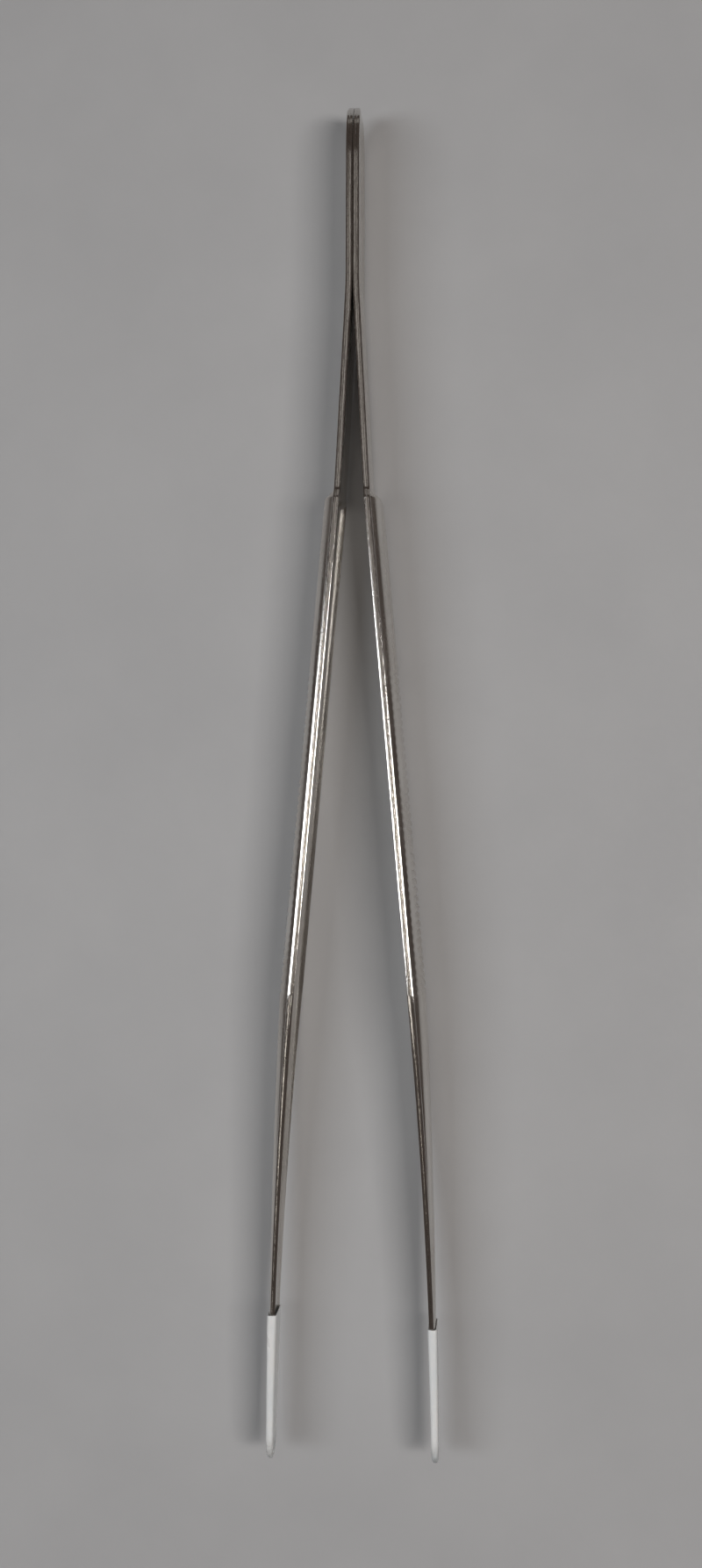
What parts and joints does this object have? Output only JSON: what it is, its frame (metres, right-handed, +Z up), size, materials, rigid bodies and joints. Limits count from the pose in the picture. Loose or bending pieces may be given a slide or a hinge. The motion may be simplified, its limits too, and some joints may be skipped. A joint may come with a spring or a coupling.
{
  "type": "tweezers",
  "caption": "Sprung steel pinch tweezers with welded butt, narrow flat spring, shouldered channel grip with cross grooves, tapering arms and plastic tip sleeves.",
  "frame": {"origin": "centre of the footprint, on the surface that the tweezers lie on", "axes": "+X across the opening towards the right blade, +Y from the tips to the welded butt, +Z up, along the width of the blades"},
  "size_m": [0.0206, 0.16, 0.01],
  "materials": {
    "plated_steel": "bright nickel plate over steel sheet, handled, with sheared edges",
    "sleeve_plastic": "milky, slightly translucent soft plastic"
  },
  "bodies": {
    "butt": {"left_blade_butt": "plated_steel", "right_blade_butt": "plated_steel"},
    "left_arm": {"left_blade_arm": "plated_steel", "left_tip_sleeve": "sleeve_plastic"},
    "right_arm": {"right_blade_arm": "plated_steel", "right_tip_sleeve": "sleeve_plastic"}
  },
  "joints": [
    {"name": "left_arm_flex", "type": "hinge", "parent": "butt", "child": "left_arm", "pos_m": [-0.00102, 0.0475, 0.005], "axis": [0, 0, 1], "range_deg": [0, 4.1], "stiffness_Nm_per_rad": 2.1},
    {"name": "right_arm_flex", "type": "hinge", "parent": "butt", "child": "right_arm", "pos_m": [0.00102, 0.0475, 0.005], "axis": [0, 0, -1], "range_deg": [0, 4.1], "stiffness_Nm_per_rad": 2.1}
  ]
}
